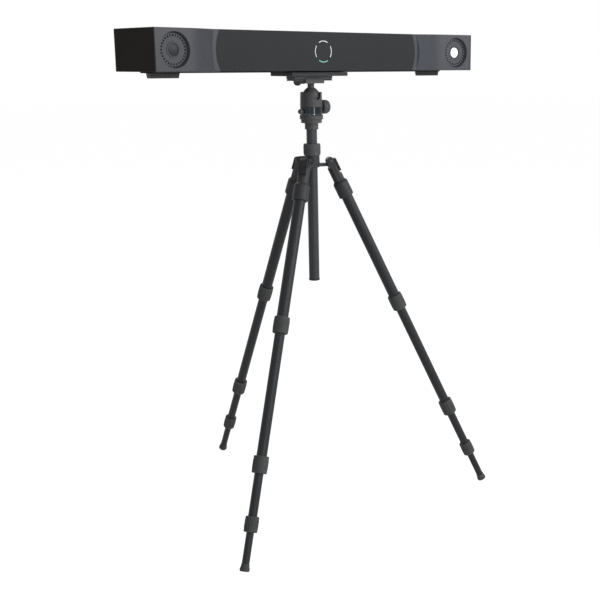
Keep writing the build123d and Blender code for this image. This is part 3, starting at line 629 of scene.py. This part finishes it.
low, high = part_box("pan_lock_knob")
ribs = grip_ribs((high[1] - low[1]) / 2, width=0.0012, length=0.0065, height=0.0003, count=16)
place = Matrix.Translation((low[0] + pan_lock_grip, column_y, (low[2] + high[2]) / 2))
settle(ribs, "pan_lock_knob_ribs", knob, "pan_lock", place @ along_x)

low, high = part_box("clamp_knob")
ribs = grip_ribs((high[0] - low[0]) / 2, width=0.0015, length=0.0072, height=0.0004, count=22)
place = Matrix.Translation((0, high[1] - clamp_grip, (low[2] + high[2]) / 2))
settle(ribs, "clamp_knob_ribs", knob, "jaw_knob", place @ along_y)

# Screws of the leg hinges, one on each face of the fork

fork_face = 0.01505  # from a hinge's middle
for name, azimuth in leg_azimuths.items():
    for side, word in ((1, "a"), (-1, "b")):
        screw = screw_head(0.0056, height=0.0022, socket_radius=0.0022, socket_depth=0.0014)
        turn = Matrix.Rotation(math.radians(-90 * side), 4, "X")
        place = Matrix.Translation(pivot_point(azimuth)) @ Matrix.Rotation(azimuth, 4, "Z")
        seat = place @ Matrix.Translation((0, side * fork_face, 0)) @ turn
        settle(screw, f"{name}_hinge_screw_{word}", dark_steel, f"{name}_leg", seat)

# Screws of the bar's foot plate, upside down in their counterbores

foot_screw_x, foot_screw_y = 0.08, 0.033  # from the plate's middle
foot_screw_seat = 0.0064  # above the plate's underside
low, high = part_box("bar_foot_plate")
plate_y = (low[1] + high[1]) / 2
for i, (sx, sy) in enumerate(((-1, -1), (1, -1), (-1, 1), (1, 1)), 1):
    screw = screw_head(0.0049, height=0.0045, socket_radius=0.0023, socket_depth=0.0022)
    place = (sx * foot_screw_x, plate_y + sy * foot_screw_y, low[2] + foot_screw_seat)
    seat = Matrix.Translation(place) @ Matrix.Rotation(math.pi, 4, "X")
    settle(screw, f"foot_plate_screw_{i}", dark_steel, "bar", seat)

# Camera modules: the lamps of the marker rings

outer_slope = math.radians(4.4)
lamp_circle = 0.0345
lamp_half_size = (0.0031, 0.0025, 0.0011)  # outwards, around and out of the ring's face
lamp_count = 28
lamp_rise = 0.0023  # from the lens's middle to the ring's face


def lens_place(side):
    """The frame of a camera at its lens's middle, Z forward."""
    low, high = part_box("left_lens" if side < 0 else "right_lens")
    centre = Vector([(a + b) / 2 for a, b in zip(low, high)])
    forward = Vector((-side * math.sin(outer_slope), -math.cos(outer_slope), 0))
    across = Vector((math.cos(outer_slope), -side * math.sin(outer_slope), 0))
    up = forward.cross(across)
    turn = Matrix((across, up, forward)).transposed().to_4x4()
    return Matrix.Translation(centre) @ turn


lamp = plain_finish("marker lamp", (0.006, 0.006, 0.007), 0.6, grain=3000.0, depth=0.000004,
                    wear=0.0, gloss=0.05)
for side, name in ((-1, "left"), (1, "right")):
    clear_selection()
    bpy.ops.mesh.primitive_uv_sphere_add(
        segments=10, ring_count=6, radius=1.0, location=(lamp_circle, 0, 0)
    )
    dome = bpy.context.object
    dome.scale = lamp_half_size
    bpy.ops.object.transform_apply(location=True, rotation=False, scale=True)
    copy_round(dome, lamp_count)
    place = lens_place(side) @ Matrix.Translation((0, 0, lamp_rise))
    settle(dome, f"{name}_marker_lamps", lamp, "bar", place)

# Grip ribs of the angle catches, in a leg's own frame

catch_rib_middle = (0.0172, 0, -0.0155)  # of the first rib
catch_rib_size = (0.0013, 0.0165, 0.0017)
catch_rib_count = 5
catch_rib_step = -0.0036
for name, azimuth in leg_azimuths.items():
    clear_selection()
    bpy.ops.mesh.primitive_cube_add(size=1, location=catch_rib_middle)
    rib = bpy.context.object
    rib.scale = catch_rib_size
    bpy.ops.object.transform_apply(location=True, rotation=False, scale=True)
    bevel_edges(rib, lambda e: all(v.co.x > catch_rib_middle[0] for v in e.verts),
                offset=0.0005, segments=2, profile=0.6)
    copy_row(rib, catch_rib_count, (0.0, 0.0, catch_rib_step))
    settle(rib, f"{name}_catch_ribs", catch, f"{name}_catch", leg_place(azimuth))

# Rear side: the pins in the sockets and the screws of the housing

socket_places = (-0.042, -0.012, 0.018)
pin_circle = 0.0034
pin_middle = -0.0018  # against the housing's rear face
rear_screw_columns = (-0.522, -0.11, 0.11, 0.522)
rear_screw_rows = (-0.042, 0.042)
rear_turn = Matrix.Rotation(math.radians(-90), 4, "X")
rear_face = Matrix.Translation((0, bar_back, bar_middle)) @ rear_turn
pin_plate = plain_finish("plated socket pins", (0.55, 0.47, 0.3), 0.3, metal=1.0, grain=2500.0,
                         depth=0.000004, wear=0.0)
for i, x in enumerate(socket_places, 1):
    clear_selection()
    bpy.ops.mesh.primitive_cylinder_add(
        vertices=12, radius=0.0006, depth=0.0022, location=(pin_circle, 0, pin_middle)
    )
    pin = bpy.context.object
    bpy.ops.object.transform_apply(location=True, rotation=False, scale=False)
    copy_round(pin, 6)
    place = rear_face @ Matrix.Translation((x, 0, 0))
    settle(pin, f"socket_pins_{i}", pin_plate, "bar", place)

rear_screw_places = [(x, z) for x in rear_screw_columns for z in rear_screw_rows]
for i, (x, z) in enumerate(rear_screw_places, 1):
    screw = screw_head(0.0033, height=0.0013, socket_radius=0.0014, socket_depth=0.0008)
    place = rear_face @ Matrix.Translation((x, z, 0))
    settle(screw, f"rear_screw_{i}", dark_steel, "bar", place)

# Floor and world, which both read white where the camera sees them

floor_size = 60
floor_drop = 0.0005
floor_pale = 0.82
floor_white = 1.215
floor_white_share = 0.8
soft_light = 0.13


def seen_plainly(tree):
    """1 for a ray that comes from the camera, a mirroring surface or clear glass."""
    path = add(tree, "ShaderNodeLightPath", -600, 200)
    seen = math_node(
        tree, -400, 200, "MAXIMUM", path.outputs["Is Camera Ray"], path.outputs["Is Glossy Ray"]
    )
    return math_node(tree, -200, 200, "MAXIMUM", seen, path.outputs["Is Transmission Ray"])


def blend(tree, share, first, second, kind):
    """Blend two shaders into the tree's output."""
    both = add(tree, "ShaderNodeMixShader", 300, 0)
    tree.links.new(share, both.inputs[0])
    tree.links.new(first.outputs[0], both.inputs[1])
    tree.links.new(second.outputs[0], both.inputs[2])
    tree.links.new(both.outputs[0], add(tree, kind, 600, 0).inputs["Surface"])


def floor_finish():
    """Pale floor that reads white and keeps the object's shadow."""
    material = bpy.data.materials.new("pale floor")
    material.use_nodes = True
    tree = material.node_tree
    tree.nodes.clear()
    pale = add(tree, "ShaderNodeBsdfDiffuse", 0, 120)
    set_values(pale, Color=(floor_pale, floor_pale, floor_pale, 1.0))
    white = set_values(add(tree, "ShaderNodeEmission", 0, -60), Strength=floor_white)
    share = math_node(tree, -40, 300, "MULTIPLY", seen_plainly(tree), floor_white_share)
    blend(tree, share, pale, white, "ShaderNodeOutputMaterial")
    return material


clear_selection()
bpy.ops.mesh.primitive_plane_add(size=floor_size, location=(0, 0, -floor_drop))
floor = bpy.context.object
floor.name = "floor"
floor.data.materials.append(floor_finish())

world = bpy.data.worlds.new("studio")
scene.world = world
world.use_nodes = True
tree = world.node_tree
tree.nodes.clear()
pure_white = (1.0, 1.0, 1.0, 1.0)
soft = add(tree, "ShaderNodeBackground", 0, 100)
set_values(soft, Color=pure_white, Strength=soft_light)
white = add(tree, "ShaderNodeBackground", 0, -100)
set_values(white, Color=pure_white, Strength=1.0)
blend(tree, seen_plainly(tree), soft, white, "ShaderNodeOutputWorld")

# Lights


def softbox(name, place, target, width, height, power, colour=(1.0, 1.0, 1.0)):
    """A rectangular light at a place, turned to its target."""
    data = bpy.data.lights.new(name, "AREA")
    data.shape = "RECTANGLE"
    data.size = width
    data.size_y = height
    data.energy = power
    data.color = colour
    box = bpy.data.objects.new(name, data)
    scene.collection.objects.link(box)
    box.location = place
    box.rotation_euler = (Vector(target) - Vector(place)).to_track_quat("-Z", "Y").to_euler()


softbox("key softbox", (1.9, -3.2, 2.4), (0, 0, 0.9), width=2.2, height=2.2, power=100)
softbox("fill softbox", (-3.0, -2.4, 1.6), (0, 0, 0.8), width=2.4, height=2.4, power=4)
softbox("top softbox", (0.2, 0.4, 3.6), (0, 0, 0.8), width=2.4, height=2.4, power=18)
softbox("back softbox", (1.7, 3.4, 2.3), (0, 0, 0.9), width=2.2, height=2.2, power=30)
softbox("cool strip", (-0.42, -3.3, 1.5), (0, 0, 1.1), width=0.55, height=1.6, power=28,
        colour=(0.74, 0.89, 1.0))

# The camera stands at the photograph's place, left of the bar and level with its lower part.
# The photograph is the left part of a wider frame, so its middle lies right of the picture's.

photo_size = 600  # in pixels, each way
focal_length = 1035.3  # in pixels
lens_axis_x, lens_axis_y = 399.5, 296.5  # in pixels from the left and upper edge
film_width = 36.0
camera_x, camera_y, camera_z = -1.8226, -2.319, 1.2784  # from the column's axis and the floor
camera_turn = math.radians(42.964)
camera_dip = math.radians(12.675)

heading = Vector((math.sin(camera_turn), math.cos(camera_turn), 0))
level, drop = math.cos(camera_dip), math.sin(camera_dip)
forward = Vector((heading.x * level, heading.y * level, -drop))
right = Vector((heading.y, -heading.x, 0))
up = right.cross(forward)
view_turn = Matrix((right, up, -forward)).transposed().to_4x4()
camera_data = bpy.data.cameras.new("camera")
camera_data.sensor_width = film_width
camera_data.lens = focal_length / photo_size * film_width
camera_data.shift_x = (photo_size / 2 - lens_axis_x) / photo_size
camera_data.shift_y = (lens_axis_y - photo_size / 2) / photo_size
camera = bpy.data.objects.new("camera", camera_data)
scene.collection.objects.link(camera)
camera.matrix_world = Matrix.Translation((camera_x, camera_y + column_y, camera_z)) @ view_turn
scene.camera = camera
scene.view_settings.view_transform = "Standard"
